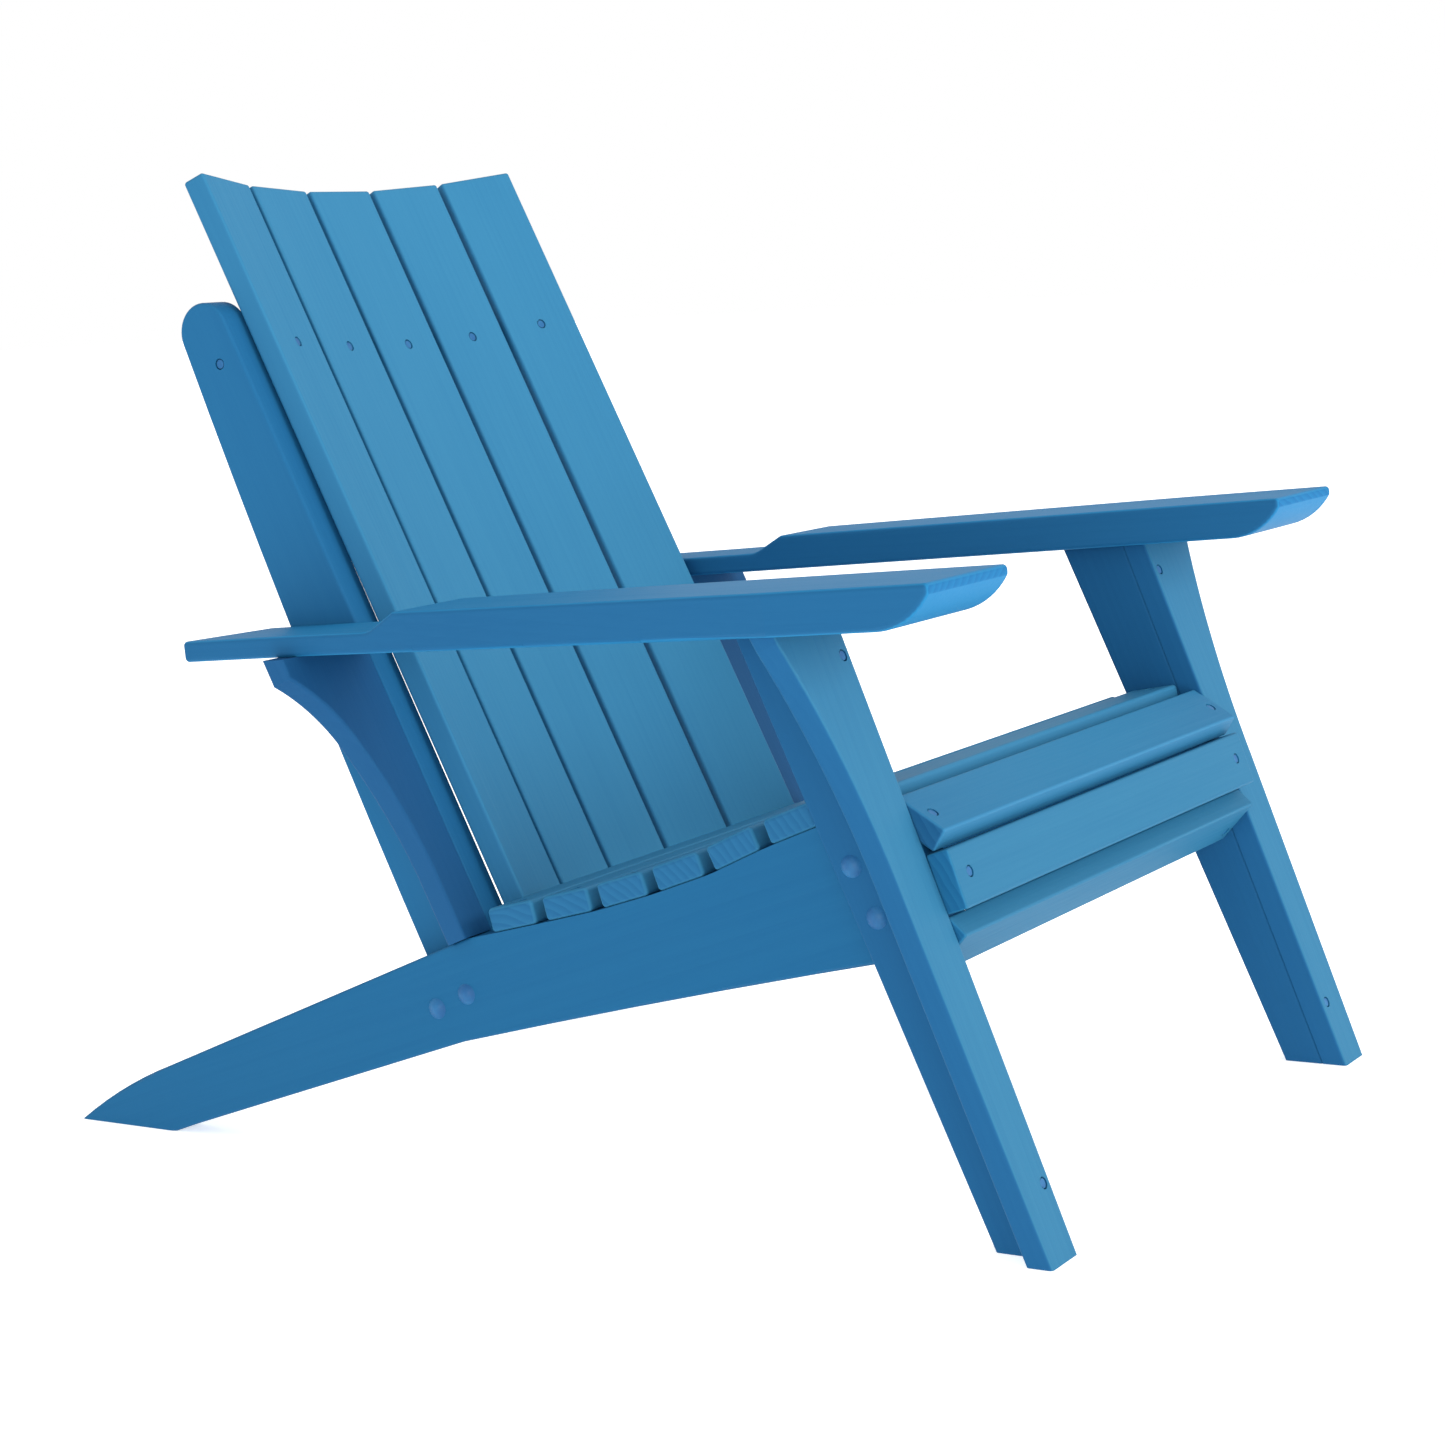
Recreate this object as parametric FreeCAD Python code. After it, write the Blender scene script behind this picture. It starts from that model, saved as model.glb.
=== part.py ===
import FreeCAD, Part
import math
import os

from FreeCAD import Vector

# A fixed wooden adirondack chair. Millimetres, +Z up, the sitter faces -Y.
# Outlines are drawn from the front of the feet (y = 0) and the floor (z = 0);
# every piece is then moved so that the origin is the middle of the footprint.
# Side pieces are drawn on the +X (left) side and mirrored to the right.

# --- driving dimensions -------------------------------------------------------
OVERALL_DEPTH = 1078.0
SLAT_EASE = 4.0                 # rounding of the seat slats' and arms' edges
FRONT_EASE = 2.5                # of the nosing, apron and lower slat
BACK_EASE = 3.0                 # of the back slats' edges
FRAME_EASE = 3.0                # of the frame boards' exposed edges

SLAT_WIDTH = 50.0               # seat, nosing, apron and lower front slats
SLAT_THICKNESS = 22.0
SEAT_HALF_WIDTH = 300.0         # also the outer faces of the stringers
SEAT_GAP = 11.7
SEAT_TILTS = (13.5, 14.0, 17.0, 19.5, 24.5, 21.5, 9.5)     # rear to front
SEAT_REAR = (558.5, 221.8)      # lower rear corner of the rearmost slat

STRINGER_THICKNESS = 32.0
STRINGER_INNER = SEAT_HALF_WIDTH - STRINGER_THICKNESS
STRINGER_HIP = (590.0, 214.5)   # top edge just behind the seat
STRINGER_HEEL = (956.0, 65.0)   # top edge where the tail starts to round off
TAIL_ROUND = (1016.0, 38.0)     # on the arc from there to the tip at the floor
TAIL_FOOT = 955.0               # where the tail starts to rest on the floor
TAIL_TOE = (930.0, 9.0)         # lower edge, just before that
BELLY_MIDDLE = (344.0, 183.0)   # on the arc that rounds the lower edge
BELLY_END = (600.0, 119.5)
NOSING_TILT = -31.0
NOSING_CORNER = (156.3, 344.2)  # lower rear corner of the nosing
APRON_RAKE = 18.4               # from the vertical
APRON_WIDTH = 50.8
APRON_FOOT = (84.6, 274.3)      # lower front corner of the apron
LOWER_SLAT_TIP = (86.5, 252.5)  # front corner of the lower slat
LOWER_SLAT_SLOPE = 48.0         # below the horizontal

LEG_RAKE = math.degrees(math.atan(0.378))
LEG_BOARD = 22.0
LEG_INNER = SEAT_HALF_WIDTH
LEG_OUTER = LEG_INNER + LEG_BOARD
FOOT_HALF_WIDTH = 345.0
FLARE_START = (357.0, 310.0)    # half width, distance up the leg
FLARE_MIDDLE = (370.5, 436.0)
FLARE_TOP = (399.0, 533.0)
SIDE_BOARD_FOOT = 62.5          # rear edge of the side board at the floor
SIDE_BOARD_SLOPE = 0.434        # its rear edge, run over rise

ARM_UNDERSIDE = 516.2           # height of its plane at y = 0
ARM_SLOPE = 0.06                # fall over run, towards the rear
ARM_THICKNESS = 35.2
ARM_TAIL_THICKNESS = 19.0
ARM_FRONT = 43.0
ARM_INNER_FRONT = 281.0         # half widths at the front
ARM_OUTER_FRONT = 417.0
ARM_REAR = 841.0                # at the outer corner
ARM_REAR_INNER = 812.0          # the rear end is cut on a slant
ARM_STEP = (585.0, 611.0, 624.0)    # top of the ramp, its foot, end of the blend
ARM_STEP_FOOT = 3.0             # height of the ramp's foot above the tail
ARM_NOSE_LENGTH = 50.0
ARM_NOSE_FLAT = 8.0             # height of the square tip above the nose curve

BACK_RAKE = 25.2
BACK_BASE = 451.3               # where the slats' front line meets the floor
BACK_RADIUS = 758.0             # of the concave front of the back
BACK_HALF_WIDTH = 240.0
BACK_SLAT_COUNT = 5
BACK_SLAT_THICKNESS = 22.0
BACK_SLAT_GAP = 6.5
BACK_BOTTOM = 190.0             # along the rake, from the floor line
BACK_TOP = 1001.0

POST_THICKNESS = 32.0
POST_OUTER = STRINGER_INNER
POST_INNER = POST_OUTER - POST_THICKNESS
POST_FRONT = 27.5               # bracket front, behind the slats' front line
POST_FRONT_FOOT = 28.3          # the post's front edge closes in on the slats
POST_FRONT_HEAD = 24.9
POST_REAR_FOOT = 109.5
POST_REAR_MIDDLE = (98.2, 622.6)
POST_HEAD_RADIUS = 28.3
POST_HEAD_LEAN = 5.0            # of the rear edge where it leaves the round head
POST_BOTTOM = 181.0
POST_TOP = 891.0

RAIL_THICKNESS = 32.0
RAIL_REAR = 88.0
RAIL_HEIGHTS = {"upper": 830.0, "lower": 250.0}

BRACKET_THICKNESS = 22.0
BRACKET_WAIST = (307.0, 318.0)  # half width, distance up the rake
BRACKET_BELLY = ((318.5, 404.0), (335.0, 458.0), (354.5, 491.5))
BRACKET_SHOULDER = (382.5, 519.0)

BOLT_DIAMETER = 8.0
BOLT_HEAD_DIAMETER = 19.0
BOLT_HEAD_HEIGHT = 4.5
WASHER = (18.0, 1.6)            # diameter, thickness
NUT = (13.0, 6.5)               # across flats, thickness
BOLT_TAIL = 3.0                 # thread past the nut
LEG_BOLTS = ((177.0, 308.0), (156.0, 267.0))        # y, z
POST_BOLTS = ((57.5, 208.5), (95.0, 208.5))         # behind slats, up the rake

SCREW_DIAMETER = 4.5
SCREW_HEAD_DIAMETER = 8.0
SCREW_SINK = 0.7                # head below the surface
COUNTERBORE = (10.4, 2.6)       # diameter, depth
SEAT_SCREW_X = SEAT_HALF_WIDTH - STRINGER_THICKNESS / 2
SEAT_SCREW_SHARE = 0.57         # of the slat's width, from its rear edge
APRON_SCREW_X = 277.0
SEAT_SCREW_LENGTH = 45.0
LEG_SCREW_LENGTH = 50.0
LEG_SCREW_HEIGHTS = (59.0, 478.0)
BACK_SCREW_LENGTH = 45.0
RAIL_SCREW_LENGTH = 60.0
ARM_SCREW_LENGTH = 55.0
DOWEL = (8.0, 40.0)             # diameter, length


# --- geometry helpers ---------------------------------------------------------
def slope(run_over_rise):
    return math.degrees(math.atan(run_over_rise))


def arm_under(y):
    return ARM_UNDERSIDE - ARM_SLOPE * y


def polar(angle):
    """Unit step forward and up in the y-z plane for a slat tilted by angle."""
    a = math.radians(angle)
    return -math.cos(a), math.sin(a)


def step(point, angle, length):
    dy, dz = polar(angle)
    return point[0] + dy * length, point[1] + dz * length


def wire(points, lift):
    """Closed wire. A point written ("arc", middle, end) is reached by an arc."""
    edges = []
    here = points[0]
    for item in points[1:] + [points[0]]:
        if item[0] == "arc":
            edges.append(Part.Arc(lift(here), lift(item[1]), lift(item[2])).toShape())
            here = item[2]
        elif math.dist(here, item) > 1e-6:
            edges.append(Part.LineSegment(lift(here), lift(item)).toShape())
            here = item
    return Part.Wire(edges)


def prism_x(points, x0, x1):
    """Solid with a y-z outline, from x0 to x1."""
    face = Part.Face(wire(points, lambda p: Vector(x0, p[0], p[1])))
    return face.extrude(Vector(x1 - x0, 0, 0))


def prism_y(points, y0, y1):
    """Solid with an x-z outline, from y0 to y1."""
    face = Part.Face(wire(points, lambda p: Vector(p[0], y0, p[1])))
    return face.extrude(Vector(0, y1 - y0, 0))


def prism_z(points, z0, z1):
    """Solid with an x-y outline, from z0 to z1."""
    face = Part.Face(wire(points, lambda p: Vector(p[0], p[1], z0)))
    return face.extrude(Vector(0, 0, z1 - z0))


def raked(shape, rake, base=0.0):
    """Lean an upright shape back by rake degrees about the floor line y = base."""
    turned = shape.copy()
    turned.rotate(Vector(0, 0, 0), Vector(1, 0, 0), -rake)
    turned.translate(Vector(0, base, 0))
    return turned


def on_back(shape):
    return raked(shape, BACK_RAKE, BACK_BASE)


def eased(shape, radius=SLAT_EASE, wanted=None):
    """Round the edges whose middle point passes the test, or every edge."""
    chosen = [e for e in shape.Edges if wanted is None or wanted(e.CenterOfMass)]
    return shape.makeFillet(radius, chosen)


def mirrored(shape):
    return shape.mirror(Vector(0, 0, 0), Vector(1, 0, 0))


def both_sides(shapes):
    return shapes + [mirrored(s) for s in shapes]


def rod(start, direction, diameter, length):
    return Part.makeCylinder(diameter / 2, length, start, direction)


# --- fasteners ----------------------------------------------------------------
def screw(surface, direction, length):
    """Flat-headed screw sunk a little below the surface point it is driven through."""
    head = surface + direction * SCREW_SINK
    taper = (SCREW_HEAD_DIAMETER - SCREW_DIAMETER) / 2
    rim = 0.8
    disc = rod(head, direction, SCREW_HEAD_DIAMETER, rim)
    cone = Part.makeCone(SCREW_HEAD_DIAMETER / 2, SCREW_DIAMETER / 2, taper,
                         head + direction * rim, direction)
    shank = rod(head + direction * (rim + taper), direction, SCREW_DIAMETER, length - rim - taper)
    return disc.fuse([cone, shank]).removeSplitter()


def counterbore(surface, direction, _length):
    """The wider hole that a screw's head sits in."""
    above = 1.0
    return rod(surface - direction * above, direction, COUNTERBORE[0], COUNTERBORE[1] + above)


def domed_head(face, direction):
    """Carriage bolt head: a spherical cap standing on the face."""
    half = BOLT_HEAD_DIAMETER / 2
    ball = (half ** 2 + BOLT_HEAD_HEIGHT ** 2) / (2 * BOLT_HEAD_HEIGHT)
    sphere = Part.makeSphere(ball, face + direction * (ball - BOLT_HEAD_HEIGHT))
    outside = rod(face - direction * ball * 2, direction, ball * 3, ball * 2)
    return sphere.common(outside)


def carriage_bolt(face, direction, grip):
    """Bolt, washer and nut through grip millimetres of timber."""
    length = grip + WASHER[1] + NUT[1] + BOLT_TAIL
    bolt = domed_head(face, direction).fuse(rod(face, direction, BOLT_DIAMETER, length))
    seat = face + direction * grip
    hole = rod(seat, direction, BOLT_DIAMETER, length)
    washer = rod(seat, direction, WASHER[0], WASHER[1]).cut(hole)
    corners = []
    for k in range(7):
        a = math.radians(60 * k)
        r = NUT[0] / math.sqrt(3)
        corners.append(Vector(0, r * math.cos(a), r * math.sin(a)))
    hexagon = Part.Face(Part.makePolygon(corners)).extrude(direction * NUT[1])
    hexagon.translate(seat + direction * WASHER[1])
    return bolt.removeSplitter(), washer, hexagon.cut(hole)


def drilled(shape, tools):
    near = [t for t in tools if t.BoundBox.intersect(shape.BoundBox)]
    if not near:
        return shape
    return shape.cut(near)


# --- seat ---------------------------------------------------------------------
def tilted_slat(corner, tilt, ease=SLAT_EASE):
    """Slat lying forward from its lower rear corner, its front raised by tilt."""
    front = step(corner, tilt, SLAT_WIDTH)
    up = 90 - tilt
    rise = (math.cos(math.radians(up)) * SLAT_THICKNESS, math.sin(math.radians(up)) * SLAT_THICKNESS)
    outline = [corner, front, (front[0] + rise[0], front[1] + rise[1]),
               (corner[0] + rise[0], corner[1] + rise[1])]
    return eased(prism_x(outline, -SEAT_HALF_WIDTH, SEAT_HALF_WIDTH), ease)


def seat_seats():
    """Lower rear and lower front corners of the seat slats, rear to front."""
    seats = []
    corner = SEAT_REAR
    for k, tilt in enumerate(SEAT_TILTS):
        front = step(corner, tilt, SLAT_WIDTH)
        seats.append((corner, front))
        following = SEAT_TILTS[min(k + 1, len(SEAT_TILTS) - 1)]
        corner = step(front, (tilt + following) / 2, SEAT_GAP)
    return seats


def upright_slat(front_foot, lean, width):
    """Slat standing on edge: lean is its front face's angle from the vertical."""
    a = math.radians(lean)
    up = (math.sin(a), math.cos(a))
    back = (math.cos(a), -math.sin(a))
    rear_foot = (front_foot[0] + back[0] * SLAT_THICKNESS, front_foot[1] + back[1] * SLAT_THICKNESS)
    rear_top = (rear_foot[0] + up[0] * width, rear_foot[1] + up[1] * width)
    front_top = (front_foot[0] + up[0] * width, front_foot[1] + up[1] * width)
    return [front_foot, rear_foot, rear_top, front_top]


APRON_OUTLINE = upright_slat(APRON_FOOT, APRON_RAKE, APRON_WIDTH)


def lower_slat_outline():
    """The lower slat slants down and back from its front corner."""
    a = math.radians(LOWER_SLAT_SLOPE)
    across = (SLAT_WIDTH * math.cos(a), -SLAT_WIDTH * math.sin(a))
    deep = (SLAT_THICKNESS * math.sin(a), SLAT_THICKNESS * math.cos(a))
    y, z = LOWER_SLAT_TIP
    return [(y, z), (y + across[0], z + across[1]),
            (y + across[0] + deep[0], z + across[1] + deep[1]), (y + deep[0], z + deep[1])]


def line_meet(a, b, c, d):
    """Where the line through a and b crosses the line through c and d."""
    den = (a[0] - b[0]) * (c[1] - d[1]) - (a[1] - b[1]) * (c[0] - d[0])
    p = a[0] * b[1] - a[1] * b[0]
    q = c[0] * d[1] - c[1] * d[0]
    return ((p * (c[0] - d[0]) - (a[0] - b[0]) * q) / den,
            (p * (c[1] - d[1]) - (a[1] - b[1]) * q) / den)


# --- frame boards -------------------------------------------------------------
def stringer():
    seats = seat_seats()
    seat_line = []
    for corner, front in seats:
        seat_line += [corner, front]
    nosing_front = step(NOSING_CORNER, NOSING_TILT, SLAT_WIDTH)
    _, apron_rear_foot, apron_rear_top, _ = APRON_OUTLINE
    lower = lower_slat_outline()
    shoulder = line_meet(NOSING_CORNER, nosing_front, apron_rear_foot, apron_rear_top)
    chin = line_meet(apron_rear_foot, apron_rear_top, lower[2], lower[3])
    outline = [(TAIL_FOOT, 0.0), (OVERALL_DEPTH, 0.0), ("arc", TAIL_ROUND, STRINGER_HEEL),
               STRINGER_HIP]
    outline += seat_line
    outline += [NOSING_CORNER, shoulder, chin, lower[2], ("arc", BELLY_MIDDLE, BELLY_END), TAIL_TOE]
    board = prism_x(outline, STRINGER_INNER, SEAT_HALF_WIDTH)
    middle = (STRINGER_INNER + SEAT_HALF_WIDTH) / 2

    def exposed(p):
        on_top = STRINGER_HIP[0] < p.y < STRINGER_HEEL[0]
        underneath = p.z < BELLY_MIDDLE[1] and lower[2][0] < p.y < TAIL_TOE[0]
        return abs(p.x - middle) > 1 and (on_top or underneath)

    return eased(board, FRAME_EASE, exposed)


def leg_side_board():
    front = LEG_BOARD / math.cos(math.radians(LEG_RAKE))
    lean = math.tan(math.radians(LEG_RAKE))
    outline = [(front, 0.0), (SIDE_BOARD_FOOT, 0.0)]
    for foot, run in ((SIDE_BOARD_FOOT, SIDE_BOARD_SLOPE), (front, lean)):
        z = (ARM_UNDERSIDE - ARM_SLOPE * foot) / (1 + ARM_SLOPE * run)
        outline.append((foot + run * z, z))
    board = prism_x(outline, LEG_INNER, LEG_OUTER)
    middle = (LEG_INNER + LEG_OUTER) / 2

    def rear(p):
        return abs(p.x - middle) > 1 and p.y > SIDE_BOARD_FOOT + 1 and 1 < p.z < 400

    return eased(board, FRAME_EASE, rear)


def between_floor_and_arm():
    far = 1400.0
    outline = [(-far, 0.0), (far, 0.0), (far, arm_under(far)), (-far, arm_under(-far))]
    return prism_x(outline, -far, far)


def leg_front_board():
    below_floor, above_arm = -30.0, 570.0
    outline = [(LEG_INNER, below_floor), (FOOT_HALF_WIDTH, below_floor), FLARE_START,
               ("arc", FLARE_MIDDLE, FLARE_TOP), (FLARE_TOP[0] + 8.0, above_arm),
               (LEG_INNER, above_arm)]
    upright = prism_y(outline, 0.0, LEG_BOARD)

    def exposed(p):
        joint = p.x < LEG_INNER + 1 and p.y > LEG_BOARD - 1
        return abs(p.y - LEG_BOARD / 2) > 1 and below_floor < p.z < above_arm and not joint

    board = raked(eased(upright, FRAME_EASE, exposed), LEG_RAKE)
    return board.common(between_floor_and_arm())


def arm_side_profile():
    """Side view of the arm, drawn with its underside level."""
    t, tail = ARM_THICKNESS, ARM_TAIL_THICKNESS
    top, foot, blended = ARM_STEP
    blend = ((foot + blended) / 2, tail + ARM_STEP_FOOT / 4)
    nose = ARM_FRONT + ARM_NOSE_LENGTH
    curve = t - ARM_NOSE_FLAT
    radius = (ARM_NOSE_LENGTH ** 2 + curve ** 2) / (2 * curve)
    half_turn = math.asin(ARM_NOSE_LENGTH / radius) / 2
    belly = (nose - radius * math.sin(half_turn), radius * (1 - math.cos(half_turn)))
    return [(ARM_REAR, 0.0), (ARM_REAR, tail), (blended, tail),
            ("arc", blend, (foot, tail + ARM_STEP_FOOT)), (top, t),
            (ARM_FRONT, t), (ARM_FRONT, curve), ("arc", belly, (nose, 0.0))]


def arm_plan():
    """Plan of the left arm: straight inner edge, outer edge narrowing to the rear."""
    return [(ARM_INNER_FRONT, ARM_FRONT), (POST_OUTER, 660.0), (POST_OUTER, ARM_REAR_INNER),
            (361.0, ARM_REAR), (364.0, 690.0), ("arc", (390.0, 440.0), (414.0, 190.0)),
            (ARM_OUTER_FRONT, ARM_FRONT)]


def arm():
    profile = prism_x(arm_side_profile(), 200.0, 500.0)
    plan = prism_z(arm_plan(), -50.0, 100.0)
    board = eased(profile.common(plan).removeSplitter())
    board.rotate(Vector(0, 0, 0), Vector(1, 0, 0), -slope(ARM_SLOPE))
    board.translate(Vector(0, 0, ARM_UNDERSIDE))
    return board


def back_post():
    """The rear edge bows gently from the foot into the round head."""
    radius = POST_HEAD_RADIUS
    centre = (POST_FRONT_HEAD + radius, POST_TOP - radius)
    lean = math.radians(POST_HEAD_LEAN)
    shoulder = (centre[0] + radius * math.cos(lean), centre[1] + radius * math.sin(lean))
    outline = [(POST_FRONT_FOOT, POST_BOTTOM), (POST_REAR_FOOT, POST_BOTTOM),
               ("arc", POST_REAR_MIDDLE, shoulder),
               ("arc", (centre[0], POST_TOP), (POST_FRONT_HEAD, centre[1]))]
    upright = prism_x(outline, POST_INNER, POST_OUTER)
    middle = (POST_INNER + POST_OUTER) / 2
    upright = eased(upright, FRAME_EASE, lambda p: abs(p.x - middle) > 1 and p.z > POST_BOTTOM + 1)
    return on_back(upright)


def above_stringer():
    far = 1400.0
    (hip_y, hip_z), (heel_y, heel_z) = STRINGER_HIP, STRINGER_HEEL
    fall = (hip_z - heel_z) / (heel_y - hip_y)
    outline = [(far, heel_z - fall * (far - heel_y)), (0.0, heel_z + fall * heel_y),
               (0.0, arm_under(0.0)), (far, arm_under(far))]
    return prism_x(outline, 0.0, far)


def arm_bracket():
    low, middle, high = BRACKET_BELLY
    outline = [(POST_OUTER, 200.0), (BRACKET_WAIST[0], 200.0), BRACKET_WAIST,
               ("arc", low, middle), ("arc", high, BRACKET_SHOULDER),
               (BRACKET_SHOULDER[0], 600.0), (POST_OUTER, 600.0)]
    board = prism_y(outline, POST_FRONT, POST_FRONT + BRACKET_THICKNESS)
    middle = POST_FRONT + BRACKET_THICKNESS / 2

    def exposed(p):
        return p.x > POST_OUTER + 10 and abs(p.y - middle) > 1 and 200 < p.z < 600

    return on_back(eased(board, FRAME_EASE, exposed)).common(above_stringer())


# --- back slats and rails -----------------------------------------------------
BACK_SAG = BACK_RADIUS - math.sqrt(BACK_RADIUS ** 2 - BACK_HALF_WIDTH ** 2)
EDGE_ANGLE = math.degrees(math.asin(BACK_HALF_WIDTH / BACK_RADIUS))
GAP_ANGLE = math.degrees(BACK_SLAT_GAP / BACK_RADIUS)
SLAT_STEP = (2 * EDGE_ANGLE + GAP_ANGLE) / BACK_SLAT_COUNT
HALF_SLAT = math.radians((SLAT_STEP - GAP_ANGLE) / 2)
BACK_SLAT_WIDTH = 2 * BACK_RADIUS * math.sin(HALF_SLAT)
CHORD_RADIUS = BACK_RADIUS * math.cos(HALF_SLAT)


def slat_angle(index):
    return SLAT_STEP * (index - (BACK_SLAT_COUNT - 1) / 2)


def turned_about_back(shape, angle):
    """Swing a shape about the back's axis of curvature, then lay it on the rake."""
    centre = Vector(0, BACK_SAG - BACK_RADIUS, 0)
    swung = shape.copy()
    swung.translate(centre)
    swung.rotate(centre, Vector(0, 0, 1), -angle)
    return on_back(swung)


def back_slat(index):
    board = Part.makeBox(BACK_SLAT_WIDTH, BACK_SLAT_THICKNESS, BACK_TOP - BACK_BOTTOM,
                         Vector(-BACK_SLAT_WIDTH / 2, CHORD_RADIUS, BACK_BOTTOM))
    return turned_about_back(eased(board, BACK_EASE), slat_angle(index))


def back_rail(height):
    """Board between the posts, its front edge cut in flats behind the slats."""
    rear_of_slats = CHORD_RADIUS + BACK_SLAT_THICKNESS
    corner = rear_of_slats / math.cos(math.radians(SLAT_STEP / 2))
    centre = BACK_SAG - BACK_RADIUS
    front = []
    for k in range(1, BACK_SLAT_COUNT):
        a = math.radians(SLAT_STEP * (k - BACK_SLAT_COUNT / 2))
        front.append((corner * math.sin(a), centre + corner * math.cos(a)))
    last = math.radians(slat_angle(BACK_SLAT_COUNT - 1))
    end_depth = centre + (rear_of_slats - POST_INNER * math.sin(last)) / math.cos(last)
    outline = [(-POST_INNER, end_depth)] + front
    outline += [(POST_INNER, end_depth), (POST_INNER, RAIL_REAR), (-POST_INNER, RAIL_REAR)]
    return on_back(prism_z(outline, height - RAIL_THICKNESS / 2, height + RAIL_THICKNESS / 2))


# --- fastener sets ------------------------------------------------------------
def back_point(x, depth, height):
    a = math.radians(BACK_RAKE)
    return Vector(x, BACK_BASE + height * math.sin(a) + depth * math.cos(a),
                  height * math.cos(a) - depth * math.sin(a))


def leg_bolt_sets():
    sets = [carriage_bolt(Vector(LEG_OUTER, y, z), Vector(-1, 0, 0), LEG_BOARD + STRINGER_THICKNESS)
            for y, z in LEG_BOLTS]
    return [both_sides([s[k] for s in sets]) for k in range(3)]


def post_bolt_sets():
    sets = [carriage_bolt(back_point(SEAT_HALF_WIDTH, depth, height), Vector(-1, 0, 0),
                          STRINGER_THICKNESS + POST_THICKNESS) for depth, height in POST_BOLTS]
    return [both_sides([s[k] for s in sets]) for k in range(3)]


def seat_screws(make):
    """One screw in each end of every slat that lies on the stringers."""
    found = []
    rests = [(corner, tilt) for (corner, _), tilt in zip(seat_seats(), SEAT_TILTS)]
    rests.append((NOSING_CORNER, NOSING_TILT))
    for corner, tilt in rests:
        a = math.radians(tilt)
        y, z = step(corner, tilt, SLAT_WIDTH * SEAT_SCREW_SHARE)
        head = Vector(SEAT_SCREW_X, y + math.sin(a) * SLAT_THICKNESS, z + math.cos(a) * SLAT_THICKNESS)
        found.append(make(head, Vector(0, -math.sin(a), -math.cos(a)), SEAT_SCREW_LENGTH))
    return both_sides(found)


def front_slat_screws(make):
    found = []
    apron = (APRON_OUTLINE[0], APRON_OUTLINE[3], APRON_RAKE, 0.54, APRON_SCREW_X)
    lower = (lower_slat_outline()[1], LOWER_SLAT_TIP, LOWER_SLAT_SLOPE - 90, 0.3, SEAT_SCREW_X)
    for foot, top, lean, share, x in (apron, lower):
        a = math.radians(lean)
        y = foot[0] + (top[0] - foot[0]) * share
        z = foot[1] + (top[1] - foot[1]) * share
        found.append(make(Vector(x, y, z), Vector(0, math.cos(a), -math.sin(a)), SEAT_SCREW_LENGTH))
    return both_sides(found)


def leg_front_screws(make):
    a = math.radians(LEG_RAKE)
    inward = Vector(0, math.cos(a), -math.sin(a))
    x = (LEG_INNER + LEG_OUTER) / 2
    found = [make(Vector(x, z * math.tan(a), z), inward, LEG_SCREW_LENGTH)
             for z in LEG_SCREW_HEIGHTS]
    return both_sides(found)


def back_slat_screws(make):
    found = []
    for height in RAIL_HEIGHTS.values():
        for k in range(BACK_SLAT_COUNT):
            upright = make(Vector(0, CHORD_RADIUS, height), Vector(0, 1, 0), BACK_SCREW_LENGTH)
            found.append(turned_about_back(upright, slat_angle(k)))
    return found


def post_rail_screws(make):
    inward = Vector(-1, 0, 0)
    found = []
    for name, depth in (("upper", 50.0), ("lower", 62.0)):
        found.append(make(back_point(POST_OUTER, depth, RAIL_HEIGHTS[name]), inward, RAIL_SCREW_LENGTH))
    return both_sides(found)


def arm_and_bracket_screws(make):
    """Driven outward from the posts' inner faces, out of sight from the front."""
    out = Vector(1, 0, 0)
    found = []
    for height in (320.0, 440.0):
        spot = back_point(POST_INNER, POST_FRONT + BRACKET_THICKNESS / 2, height)
        found.append(make(spot, out, ARM_SCREW_LENGTH))
    for y in (735.0, 775.0):
        spot = Vector(POST_INNER, y, arm_under(y) + ARM_TAIL_THICKNESS / 2)
        found.append(make(spot, out, ARM_SCREW_LENGTH))
    return both_sides(found)


def arm_dowels():
    """Half of each dowel stands in a leg board and half in the arm."""
    diameter, length = DOWEL
    found = []
    lean = math.tan(math.radians(LEG_RAKE))
    front = lean * arm_under(200.0)
    spots = ((322.0, front + 12.0), (376.0, front + 12.0), ((LEG_INNER + LEG_OUTER) / 2, front + 62.0))
    for x, y in spots:
        foot = Vector(x, y, arm_under(y) - length / 2)
        found.append(rod(foot, Vector(0, 0, 1), diameter, length))
    return both_sides(found)


# --- assembly -----------------------------------------------------------------
def save(name, shapes):
    group = shapes if isinstance(shapes, list) else [shapes]
    placed = []
    for shape in group:
        for solid in shape.Solids:
            solid = solid.copy()
            solid.translate(Vector(0, -OVERALL_DEPTH / 2, 0))
            placed.append(solid)
    body = placed[0] if len(placed) == 1 else Part.makeCompound(placed)
    body.exportStep("parts/" + name + ".step")
    valid = all(s.isValid() for s in placed)
    box = body.BoundBox
    print(f"{name:24s} solids {len(placed):2d} valid {valid} volume {body.Volume / 1000:9.1f} cm3 "
          f"z {box.ZMin:7.1f} {box.ZMax:7.1f}")


def save_pair(name, shape, tools):
    save(name + "_left", drilled(shape, tools))
    save(name + "_right", drilled(mirrored(shape), tools))


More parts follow.
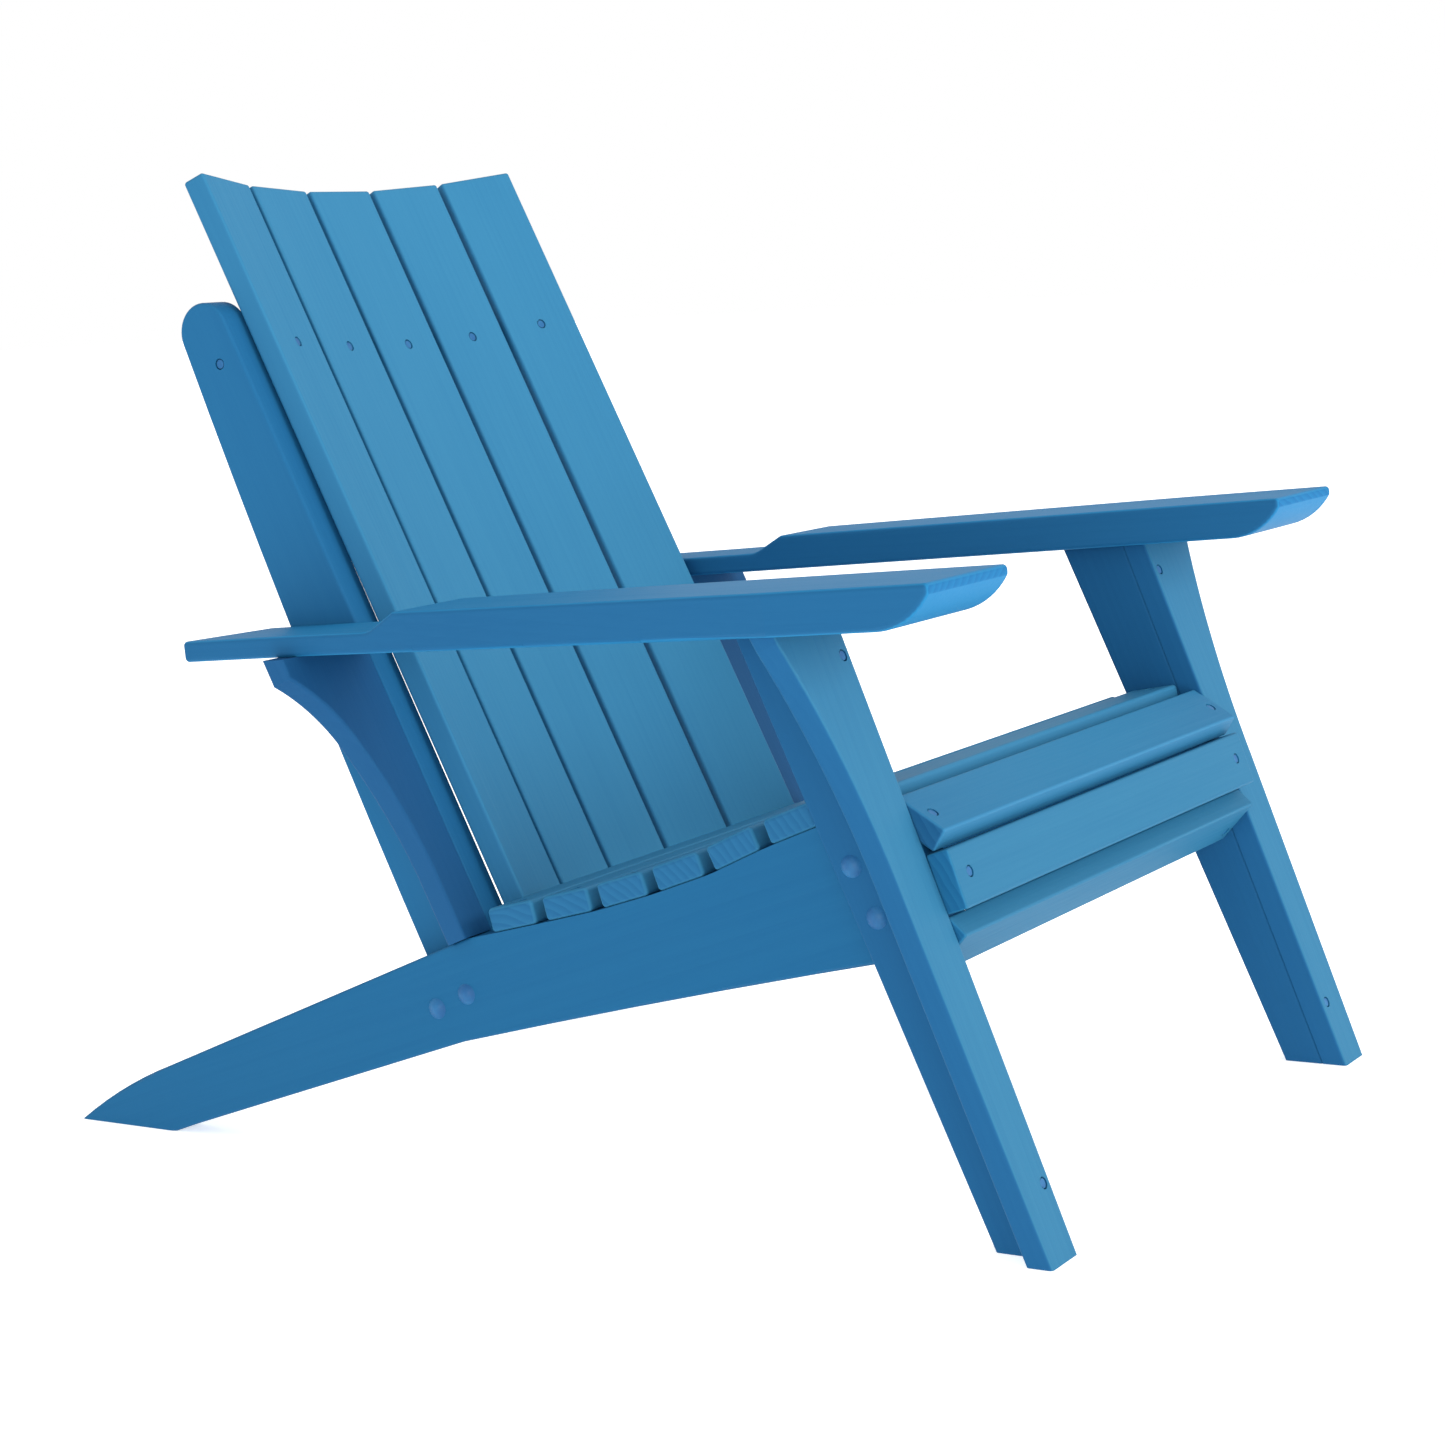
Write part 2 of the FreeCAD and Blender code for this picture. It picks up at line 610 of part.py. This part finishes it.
def main():
    os.makedirs("parts", exist_ok=True)
    leg_bolts, leg_washers, leg_nuts = leg_bolt_sets()
    post_bolts, post_washers, post_nuts = post_bolt_sets()
    screw_sets = {
        "seat_screws": (seat_screws, front_slat_screws),
        "leg_screws": (leg_front_screws,),
        "back_slat_screws": (back_slat_screws,),
        "post_screws": (post_rail_screws, arm_and_bracket_screws),
    }
    fasteners = {"leg_bolts": leg_bolts, "post_bolts": post_bolts, "arm_dowels": arm_dowels()}
    tools = leg_bolts + post_bolts + fasteners["arm_dowels"]
    for name, sets in screw_sets.items():
        fasteners[name] = [s for make_set in sets for s in make_set(screw)]
        tools += fasteners[name]
        tools += [s for make_set in sets for s in make_set(counterbore)]

    save_pair("stringer", stringer(), tools)
    save_pair("leg_side_board", leg_side_board(), tools)
    save_pair("leg_front_board", leg_front_board(), tools)
    save_pair("arm", arm(), tools)
    save_pair("back_post", back_post(), tools)
    save_pair("arm_bracket", arm_bracket(), tools)
    for k, ((corner, _), tilt) in enumerate(zip(seat_seats(), SEAT_TILTS)):
        save(f"seat_slat_{k + 1}", drilled(tilted_slat(corner, tilt), tools))
    save("nosing_slat", drilled(tilted_slat(NOSING_CORNER, NOSING_TILT, FRONT_EASE), tools))
    for name, outline in (("apron_slat", APRON_OUTLINE), ("lower_slat", lower_slat_outline())):
        board = eased(prism_x(outline, -SEAT_HALF_WIDTH, SEAT_HALF_WIDTH), FRONT_EASE)
        save(name, drilled(board, tools))
    for k in range(BACK_SLAT_COUNT):
        save(f"back_slat_{k + 1}", drilled(back_slat(k), tools))
    for name, height in RAIL_HEIGHTS.items():
        save(f"back_rail_{name}", drilled(back_rail(height), tools))
    for name, group in fasteners.items():
        save(name, group)
    save("bolt_washers", leg_washers + post_washers)
    save("bolt_nuts", leg_nuts + post_nuts)


main()
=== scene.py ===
import math

import bpy
from mathutils import Matrix, Vector


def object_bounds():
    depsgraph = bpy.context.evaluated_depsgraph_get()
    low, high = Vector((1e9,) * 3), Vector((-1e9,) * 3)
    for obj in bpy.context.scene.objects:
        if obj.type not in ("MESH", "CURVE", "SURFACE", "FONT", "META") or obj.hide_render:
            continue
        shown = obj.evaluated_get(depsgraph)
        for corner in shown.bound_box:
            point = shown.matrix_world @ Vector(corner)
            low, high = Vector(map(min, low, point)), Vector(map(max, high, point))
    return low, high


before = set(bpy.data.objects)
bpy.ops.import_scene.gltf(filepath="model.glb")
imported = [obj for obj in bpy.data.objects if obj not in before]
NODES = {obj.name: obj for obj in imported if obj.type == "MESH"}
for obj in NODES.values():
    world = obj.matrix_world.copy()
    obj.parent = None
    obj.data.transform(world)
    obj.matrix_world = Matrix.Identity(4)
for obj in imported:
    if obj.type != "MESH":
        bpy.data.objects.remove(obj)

LOADED_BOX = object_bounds()
PAINTED_METAL = {
    "leg_bolts", "post_bolts", "seat_screws", "leg_screws", "back_slat_screws", "post_screws",
}
BARE_STEEL = {"bolt_washers", "bolt_nuts"}

# --- colours (linear) ----------------------------------------------------------
# Tones of the one blue stain by group of boards, tuned under the lights below. They
# make up for lighting as well as for the stain itself, so they hold painted light and
# shade: groups are painted lighter or darker for how light falls on them. In each pair the
# first tone is for faces up or forward and the second for faces turned sideways, lit and
# shaded copies of the stain painted by facing.
STAIN_AND_SHADE_TONES = {
    "slat": ((0.031, 0.178, 0.322), (0.025, 0.155, 0.300)),
    "nosing": ((0.026, 0.159, 0.298), (0.020, 0.132, 0.268)),
    "front_slat": ((0.022, 0.139, 0.253), (0.019, 0.165, 0.320)),
    "leg": ((0.026, 0.149, 0.267), (0.010, 0.098, 0.232)),
    "leg_side": ((0.0085, 0.090, 0.215), (0.0085, 0.090, 0.215)),
    "frame": ((0.0095, 0.106, 0.236), (0.0095, 0.106, 0.236)),
    "post": ((0.012, 0.116, 0.256), (0.012, 0.116, 0.256)),
    "arm": ((0.014, 0.171, 0.362), (0.010, 0.100, 0.232)),
    "inner": ((0.010, 0.082, 0.205), (0.010, 0.082, 0.205)),
}
PLAIN = (1.0, 1.0, 1.0)
DEEP = (0.84, 0.91, 0.95)                   # share of the tone where more stain is taken
END = (0.42, 0.58, 0.71)                    # end grain drinks the most
WORN = (1.35, 1.12, 1.06)                   # thinned along the rounded edges
PAINT = (0.016, 0.130, 0.300, 1.0)          # the same blue over metal
PAINT_DEEP = (0.010, 0.095, 0.250, 1.0)
STEEL = (0.42, 0.43, 0.44, 1.0)
STEEL_DULL = (0.25, 0.26, 0.27, 1.0)
BEECH = (0.55, 0.38, 0.22, 1.0)
BEECH_DEEP = (0.40, 0.25, 0.13, 1.0)
FLOOR = (0.90, 0.90, 0.90, 1.0)
WHITE = (1.0, 1.0, 1.0, 1.0)
FLOOR_GLOW = 0.60                           # keeps the pale floor from going grey in the shade

# --- the wood's figure -----------------------------------------------------------
RING_STRETCH = (0.045, 1.0, 1.0)            # along, across and out of the board
FIBRE_STRETCH = (9.0, 420.0, 420.0)
STREAK_STRETCH = (2.2, 55.0, 55.0)
BLOTCH_STRETCH = (2.0, 7.0, 7.0)
RING_SETTINGS = {"Scale": 42.0, "Distortion": 3.2, "Detail": 2.0, "Detail Scale": 0.7}
RING_PART = 0.18                            # how much each takes part in the stain's depth
STREAK_PART = 0.55
FIBRE_PART = 0.5
BLOTCH_PART = 0.5
WORN_PART = 0.55
END_PART = 0.75
END_RINGS_FROM = 0.45                       # least share of the end grain's dark tone
WOOD_ROUGHNESS = 0.42
WOOD_GLOSS = 0.09
METAL_GLOSS = 0.25
RING_DEPTH = 0.00003                        # metres
FIBRE_DEPTH = 0.00008
FIBRE_STRENGTH = 0.8
BRUSH_DEPTH = 0.0002
FINE_DEPTH = 0.0001

# --- stage, light and camera, in metres, watts and millimetres of lens -------------
FLOOR_HALF = 60.0
FLOOR_DROP = 0.0005                         # the floor lies just under the feet
FLOOR_ROUGHNESS = 0.9
KEY = ((0.6, -4.2, 1.5), 2.4, 110.0)        # place, size and power
FILL = ((-3.8, -1.2, 0.8), 1.6, 40.0)
CAMERA_PLACE = (-2.3723, -1.5516, 0.7784)
CAMERA_AZIMUTH = math.radians(-57.5393)
CAMERA_ELEVATION = math.radians(8.3482)
CAMERA_ROLL = -0.0571                       # radians
CAMERA_LENS = 74.70
SENSOR_WIDTH = 36.0
CLIP = (0.1, 200.0)

# --- how the boards lie, close to the model's own angles ---------------------------
BACK_RAKE = math.radians(25.2)
LEG_RAKE = math.atan(0.378)
SIDE_BOARD_RAKE = math.atan(0.41)
STRINGER_FALL = math.radians(19.0)
ARM_FALL = math.atan(0.06)

UP_THE_BACK = Vector((0.0, math.sin(BACK_RAKE), math.cos(BACK_RAKE)))
OUT_OF_BACK = Vector((0.0, math.cos(BACK_RAKE), -math.sin(BACK_RAKE)))
UP_THE_LEG = Vector((0.0, math.sin(LEG_RAKE), math.cos(LEG_RAKE)))
OUT_OF_LEG = Vector((0.0, -math.cos(LEG_RAKE), math.sin(LEG_RAKE)))
UP_THE_SIDE_BOARD = Vector((0.0, math.sin(SIDE_BOARD_RAKE), math.cos(SIDE_BOARD_RAKE)))
DOWN_THE_STRINGER = Vector((0.0, math.cos(STRINGER_FALL), -math.sin(STRINGER_FALL)))
ALONG_THE_ARM = Vector((0.0, math.cos(ARM_FALL), -math.sin(ARM_FALL)))
SIDEWAYS = Vector((1.0, 0.0, 0.0))


# --- node helpers ----------------------------------------------------------------
class Tree:
    """A material's nodes, with short calls for the few kinds used here."""

    def __init__(self, name):
        self.material = bpy.data.materials.new(name)
        self.material.use_nodes = True
        self.tree = self.material.node_tree
        self.tree.nodes.clear()
        self.shader = self.add("ShaderNodeBsdfPrincipled")
        output = self.add("ShaderNodeOutputMaterial")
        self.join(self.shader.outputs["BSDF"], output.inputs["Surface"])

    def add(self, kind, **settings):
        node = self.tree.nodes.new(kind)
        for key, value in settings.items():
            setattr(node, key, value)
        return node

    def join(self, source, target):
        if hasattr(source, "is_output"):
            self.tree.links.new(source, target)
        else:
            target.default_value = source

    def maths(self, operation, a, b=0.0):
        node = self.add("ShaderNodeMath", operation=operation)
        self.join(a, node.inputs[0])
        self.join(b, node.inputs[1])
        return node.outputs[0]

    def dot(self, vector, axis):
        node = self.add("ShaderNodeVectorMath", operation="DOT_PRODUCT")
        self.join(vector, node.inputs[0])
        node.inputs[1].default_value = axis
        return node.outputs["Value"]

    def mix(self, share, a, b):
        node = self.add("ShaderNodeMix", data_type="RGBA")
        self.join(share, node.inputs["Factor"])
        self.join(a, node.inputs[6])
        self.join(b, node.inputs[7])
        return node.outputs[2]

    def spread(self, value, low, high, new_low=0.0, new_high=1.0):
        node = self.add("ShaderNodeMapRange", interpolation_type="SMOOTHSTEP")
        self.join(value, node.inputs["Value"])
        node.inputs["From Min"].default_value = low
        node.inputs["From Max"].default_value = high
        node.inputs["To Min"].default_value = new_low
        node.inputs["To Max"].default_value = new_high
        return node.outputs["Result"]

    def noise(self, place, scale, detail=2.0, roughness=0.5):
        node = self.add("ShaderNodeTexNoise")
        self.join(place, node.inputs["Vector"])
        node.inputs["Scale"].default_value = scale
        node.inputs["Detail"].default_value = detail
        node.inputs["Roughness"].default_value = roughness
        return node.outputs["Fac"]

    def placed(self, turn, shift, stretch=(1.0, 1.0, 1.0)):
        """Object position, turned so that local x runs along the grain."""
        where = self.add("ShaderNodeTexCoord").outputs["Object"]
        turned = self.add("ShaderNodeMapping", vector_type="POINT")
        self.join(where, turned.inputs["Vector"])
        turned.inputs["Rotation"].default_value = turn
        turned.inputs["Location"].default_value = shift
        scaled = self.add("ShaderNodeMapping", vector_type="POINT")
        self.join(turned.outputs["Vector"], scaled.inputs["Vector"])
        scaled.inputs["Scale"].default_value = stretch
        return scaled.outputs["Vector"]

    def bump(self, height, distance, strength=1.0, normal=None):
        node = self.add("ShaderNodeBump")
        self.join(height, node.inputs["Height"])
        node.inputs["Distance"].default_value = distance
        node.inputs["Strength"].default_value = strength
        if normal is not None:
            self.join(normal, node.inputs["Normal"])
        return node.outputs["Normal"]


# --- materials -------------------------------------------------------------------
def grain_turn(along, face):
    """Rotation that takes the board's own axes to x, y and z."""
    across = face.cross(along).normalized()
    rows = Matrix((along, across, face.normalized()))
    return rows.to_euler()


def shade(colour, share):
    return tuple(c * k for c, k in zip(colour, share)) + (1.0,)


def wood_figure(t, turn, shift):
    """Growth rings, fibres, streaks and blotches, each running from 0 to 1."""
    rings = t.add("ShaderNodeTexWave", wave_type="RINGS", rings_direction="X", wave_profile="SAW")
    t.join(t.placed(turn, shift, RING_STRETCH), rings.inputs["Vector"])
    for socket, value in RING_SETTINGS.items():
        rings.inputs[socket].default_value = value
    fibres = t.noise(t.placed(turn, shift, FIBRE_STRETCH), 1.0, 3.0, 0.6)
    streaks = t.noise(t.placed(turn, shift, STREAK_STRETCH), 1.0, 3.0, 0.55)
    blotches = t.noise(t.placed(turn, shift, BLOTCH_STRETCH), 1.0, 2.0, 0.5)
    return rings.outputs["Fac"], fibres, streaks, blotches


def centred(t, value, part):
    return t.maths("MULTIPLY", t.maths("SUBTRACT", value, 0.5), part)


def edge_mask(t, normal, face):
    """1 where the surface turns half away from the broad face, 0 on flat faces."""
    tilt = t.maths("POWER", t.maths("ABSOLUTE", t.dot(normal, face)), 2.0)
    return t.maths("MULTIPLY", t.maths("MULTIPLY", tilt, t.maths("SUBTRACT", 1.0, tilt)), 4.0)


def stained_wood(name, along, face, stain_and_shade, seed):
    """Blue solid stain over sawn timber: rings, fibres, darker end grain, worn edges, and painted
    light and shade by facing.
    """
    t = Tree(name)
    turn = grain_turn(along, face)
    shift = (0.37 * seed, 0.013 * (seed % 5) - 0.02, -0.055 - 0.006 * (seed % 7))
    ring, fibres, streaks, blotches = wood_figure(t, turn, shift)
    normal = t.add("ShaderNodeNewGeometry").outputs["Normal"]
    # painted shade: share of the sideways tone, from how far each face turns sideways
    sideways_shade_share = t.spread(t.maths("ABSOLUTE", t.dot(normal, SIDEWAYS)), 0.55, 0.90)
    end = t.spread(t.maths("ABSOLUTE", t.dot(normal, along)), 0.80, 0.97)
    worn = t.maths("MULTIPLY", edge_mask(t, normal, face), t.spread(streaks, 0.42, 0.68))
    forward_lit_tone, sideways_shaded_tone = stain_and_shade

    # painted light and shade: the lit or the shaded copy of a tone, chosen by facing
    def shaded_by_facing(share):
        return t.mix(sideways_shade_share, shade(forward_lit_tone, share), shade(sideways_shaded_tone, share))

    taken = t.maths("MULTIPLY", ring, RING_PART)
    taken = t.maths("ADD", taken, t.maths("MULTIPLY", streaks, STREAK_PART))
    taken = t.maths("ADD", taken, centred(t, fibres, FIBRE_PART))
    taken = t.maths("ADD", taken, centred(t, blotches, BLOTCH_PART))
    deep = shaded_by_facing(DEEP)
    colour = t.mix(t.spread(taken, 0.15, 0.85), shaded_by_facing(PLAIN), deep)
    colour = t.mix(t.maths("MULTIPLY", worn, WORN_PART), colour, shaded_by_facing(WORN))
    end_tone = t.mix(t.spread(ring, 0.0, 1.0, END_RINGS_FROM, 1.0), deep, shaded_by_facing(END))
    colour = t.mix(t.maths("MULTIPLY", end, END_PART), colour, end_tone)
    t.join(colour, t.shader.inputs["Base Color"])

    rough = t.maths("ADD", t.maths("MULTIPLY", fibres, 0.16), t.maths("MULTIPLY", blotches, 0.14))
    rough = t.maths("ADD", rough, t.maths("MULTIPLY", end, 0.12))
    t.join(t.maths("ADD", rough, WOOD_ROUGHNESS), t.shader.inputs["Roughness"])
    t.shader.inputs["Specular IOR Level"].default_value = WOOD_GLOSS

    coarse = t.bump(ring, RING_DEPTH)
    fine = t.bump(fibres, FIBRE_DEPTH, FIBRE_STRENGTH, coarse)
    t.join(fine, t.shader.inputs["Normal"])
    return t.material


def painted_metal(name):
    """Bolt and screw heads brushed over with the same blue."""
    t = Tree(name)
    place = t.placed((0.0, 0.0, 0.0), (0.1, 0.0, 0.0))
    brush = t.noise(place, 260.0, 3.0, 0.6)
    pools = t.noise(place, 70.0, 2.0, 0.5)
    t.join(t.mix(t.spread(pools, 0.35, 0.65), PAINT, PAINT_DEEP), t.shader.inputs["Base Color"])
    t.join(t.maths("ADD", t.maths("MULTIPLY", brush, 0.2), 0.36), t.shader.inputs["Roughness"])
    t.shader.inputs["Specular IOR Level"].default_value = METAL_GLOSS
    t.join(t.bump(brush, BRUSH_DEPTH), t.shader.inputs["Normal"])
    return t.material


def zinc_steel(name):
    """Dull zinc on the hidden washers and nuts."""
    t = Tree(name)
    place = t.placed((0.0, 0.0, 0.0), (0.0, 0.0, 0.0))
    crystals = t.noise(place, 300.0, 2.0, 0.6)
    t.join(t.mix(t.spread(crystals, 0.4, 0.62), STEEL, STEEL_DULL), t.shader.inputs["Base Color"])
    t.join(t.maths("ADD", t.maths("MULTIPLY", crystals, 0.25), 0.25), t.shader.inputs["Roughness"])
    t.shader.inputs["Metallic"].default_value = 1.0
    t.join(t.bump(crystals, FINE_DEPTH), t.shader.inputs["Normal"])
    return t.material


def bare_beech(name):
    """Unstained dowels inside the arms and legs."""
    t = Tree(name)
    turn = grain_turn(Vector((0.0, 0.0, 1.0)), SIDEWAYS)
    fibres = t.noise(t.placed(turn, (0.0, 0.0, 0.0), (12.0, 500.0, 500.0)), 1.0, 3.0, 0.6)
    t.join(t.mix(t.spread(fibres, 0.35, 0.65), BEECH, BEECH_DEEP), t.shader.inputs["Base Color"])
    t.join(t.maths("ADD", t.maths("MULTIPLY", fibres, 0.2), 0.5), t.shader.inputs["Roughness"])
    t.join(t.bump(fibres, FINE_DEPTH), t.shader.inputs["Normal"])
    return t.material


# --- which board lies which way ----------------------------------------------------
def broad_face(node, faces_out):
    """Normal shared by the largest area among the triangles that face out."""
    weights = {}
    for polygon in NODES[node].data.polygons:
        if faces_out(polygon.normal):
            key = tuple(round(part, 2) for part in polygon.normal)
            weights[key] = weights.get(key, 0.0) + polygon.area
    return Vector(max(weights, key=weights.get)).normalized()


def faces_up(n):
    return abs(n.x) < 0.01 and n.z > 0.3


def faces_forward(n):
    return n.y < -0.3


def board_facts(node):
    """Grain direction, broad-face normal and stain tones, with their painted light and shade, of a
    wooden node.
    """
    if node.startswith("back_slat"):
        return UP_THE_BACK, broad_face(node, faces_forward), STAIN_AND_SHADE_TONES["slat"]
    if node.startswith("seat_slat"):
        return SIDEWAYS, broad_face(node, faces_up), STAIN_AND_SHADE_TONES["slat"]
    if node == "nosing_slat":
        return SIDEWAYS, broad_face(node, faces_up), STAIN_AND_SHADE_TONES["nosing"]
    if node in ("apron_slat", "lower_slat"):
        return SIDEWAYS, broad_face(node, faces_forward), STAIN_AND_SHADE_TONES["front_slat"]
    table = {
        "stringer": (DOWN_THE_STRINGER, SIDEWAYS, STAIN_AND_SHADE_TONES["frame"]),
        "leg_side_board": (UP_THE_SIDE_BOARD, SIDEWAYS, STAIN_AND_SHADE_TONES["leg_side"]),
        "leg_front_board": (UP_THE_LEG, OUT_OF_LEG, STAIN_AND_SHADE_TONES["leg"]),
        "arm_bracket": (UP_THE_BACK, OUT_OF_BACK, STAIN_AND_SHADE_TONES["inner"]),
        "arm": (ALONG_THE_ARM, SIDEWAYS, STAIN_AND_SHADE_TONES["arm"]),
        "back_post": (UP_THE_BACK, SIDEWAYS, STAIN_AND_SHADE_TONES["post"]),
        "back_rail": (SIDEWAYS, UP_THE_BACK, STAIN_AND_SHADE_TONES["inner"]),
    }
    stem = max((s for s in table if node.startswith(s)), key=len)
    return table[stem]


def dress(node, material):
    slots = NODES[node].material_slots
    if not slots:
        NODES[node].data.materials.append(material)
    for slot in slots:
        slot.material = material


def dress_all():
    paint = painted_metal("painted_metal")
    steel = zinc_steel("zinc_steel")
    beech = bare_beech("bare_beech")
    seed = 0
    for node in sorted(NODES):
        if node in PAINTED_METAL:
            dress(node, paint)
        elif node in BARE_STEEL:
            dress(node, steel)
        elif node == "arm_dowels":
            dress(node, beech)
        else:
            seed += 1
            along, face, stain_and_shade = board_facts(node)
            # each board's material holds its stain with painted light and shade by facing
            dress(node, stained_wood("stain_" + node, along, face, stain_and_shade, seed))


# --- stage, light and camera ---------------------------------------------------------
def pale_floor():
    mesh = bpy.data.meshes.new("floor")
    z = LOADED_BOX[0].z - FLOOR_DROP
    half = FLOOR_HALF
    corners = [(-half, -half, z), (half, -half, z), (half, half, z), (-half, half, z)]
    mesh.from_pydata(corners, [], [(0, 1, 2, 3)])
    floor = bpy.data.objects.new("floor", mesh)
    bpy.context.scene.collection.objects.link(floor)
    t = Tree("floor_white")
    t.shader.inputs["Base Color"].default_value = FLOOR
    t.shader.inputs["Roughness"].default_value = FLOOR_ROUGHNESS
    t.shader.inputs["Specular IOR Level"].default_value = 0.0
    t.shader.inputs["Emission Color"].default_value = WHITE
    t.shader.inputs["Emission Strength"].default_value = FLOOR_GLOW
    mesh.materials.append(t.material)


def studio_world():
    world = bpy.data.worlds.new("studio")
    world.use_nodes = True
    background = world.node_tree.nodes["Background"]
    background.inputs["Color"].default_value = WHITE
    background.inputs["Strength"].default_value = 1.0
    bpy.context.scene.world = world


def softbox(name, place, size, power):
    """Square area light that looks at the middle of the chair."""
    low, high = LOADED_BOX
    target = (low + high) / 2
    data = bpy.data.lights.new(name, "AREA")
    data.shape = "SQUARE"
    data.size = size
    data.energy = power
    light = bpy.data.objects.new(name, data)
    light.location = place
    light.rotation_mode = "QUATERNION"
    light.rotation_quaternion = (target - Vector(place)).to_track_quat("-Z", "Y")
    bpy.context.scene.collection.objects.link(light)


def studio_lights():
    softbox("key", *KEY)
    softbox("fill", *FILL)


def camera():
    """Aimed by azimuth, elevation and roll."""
    azimuth, elevation, roll = CAMERA_AZIMUTH, CAMERA_ELEVATION, CAMERA_ROLL
    right = Vector((math.cos(azimuth), math.sin(azimuth), 0.0))
    ahead = Vector((-math.sin(azimuth) * math.cos(elevation),
                    math.cos(azimuth) * math.cos(elevation), -math.sin(elevation)))
    up = right.cross(ahead)
    x = right * math.cos(roll) + up * math.sin(roll)
    y = up * math.cos(roll) - right * math.sin(roll)
    data = bpy.data.cameras.new("camera")
    data.sensor_width = SENSOR_WIDTH
    data.lens = CAMERA_LENS
    data.clip_start, data.clip_end = CLIP
    view = bpy.data.objects.new("camera", data)
    turn = Matrix((x, y, -ahead)).transposed().to_4x4()
    view.matrix_world = Matrix.Translation(CAMERA_PLACE) @ turn
    bpy.context.scene.collection.objects.link(view)
    bpy.context.scene.camera = view


camera()
dress_all()
pale_floor()
studio_world()
studio_lights()
bpy.context.scene.view_settings.view_transform = "Standard"
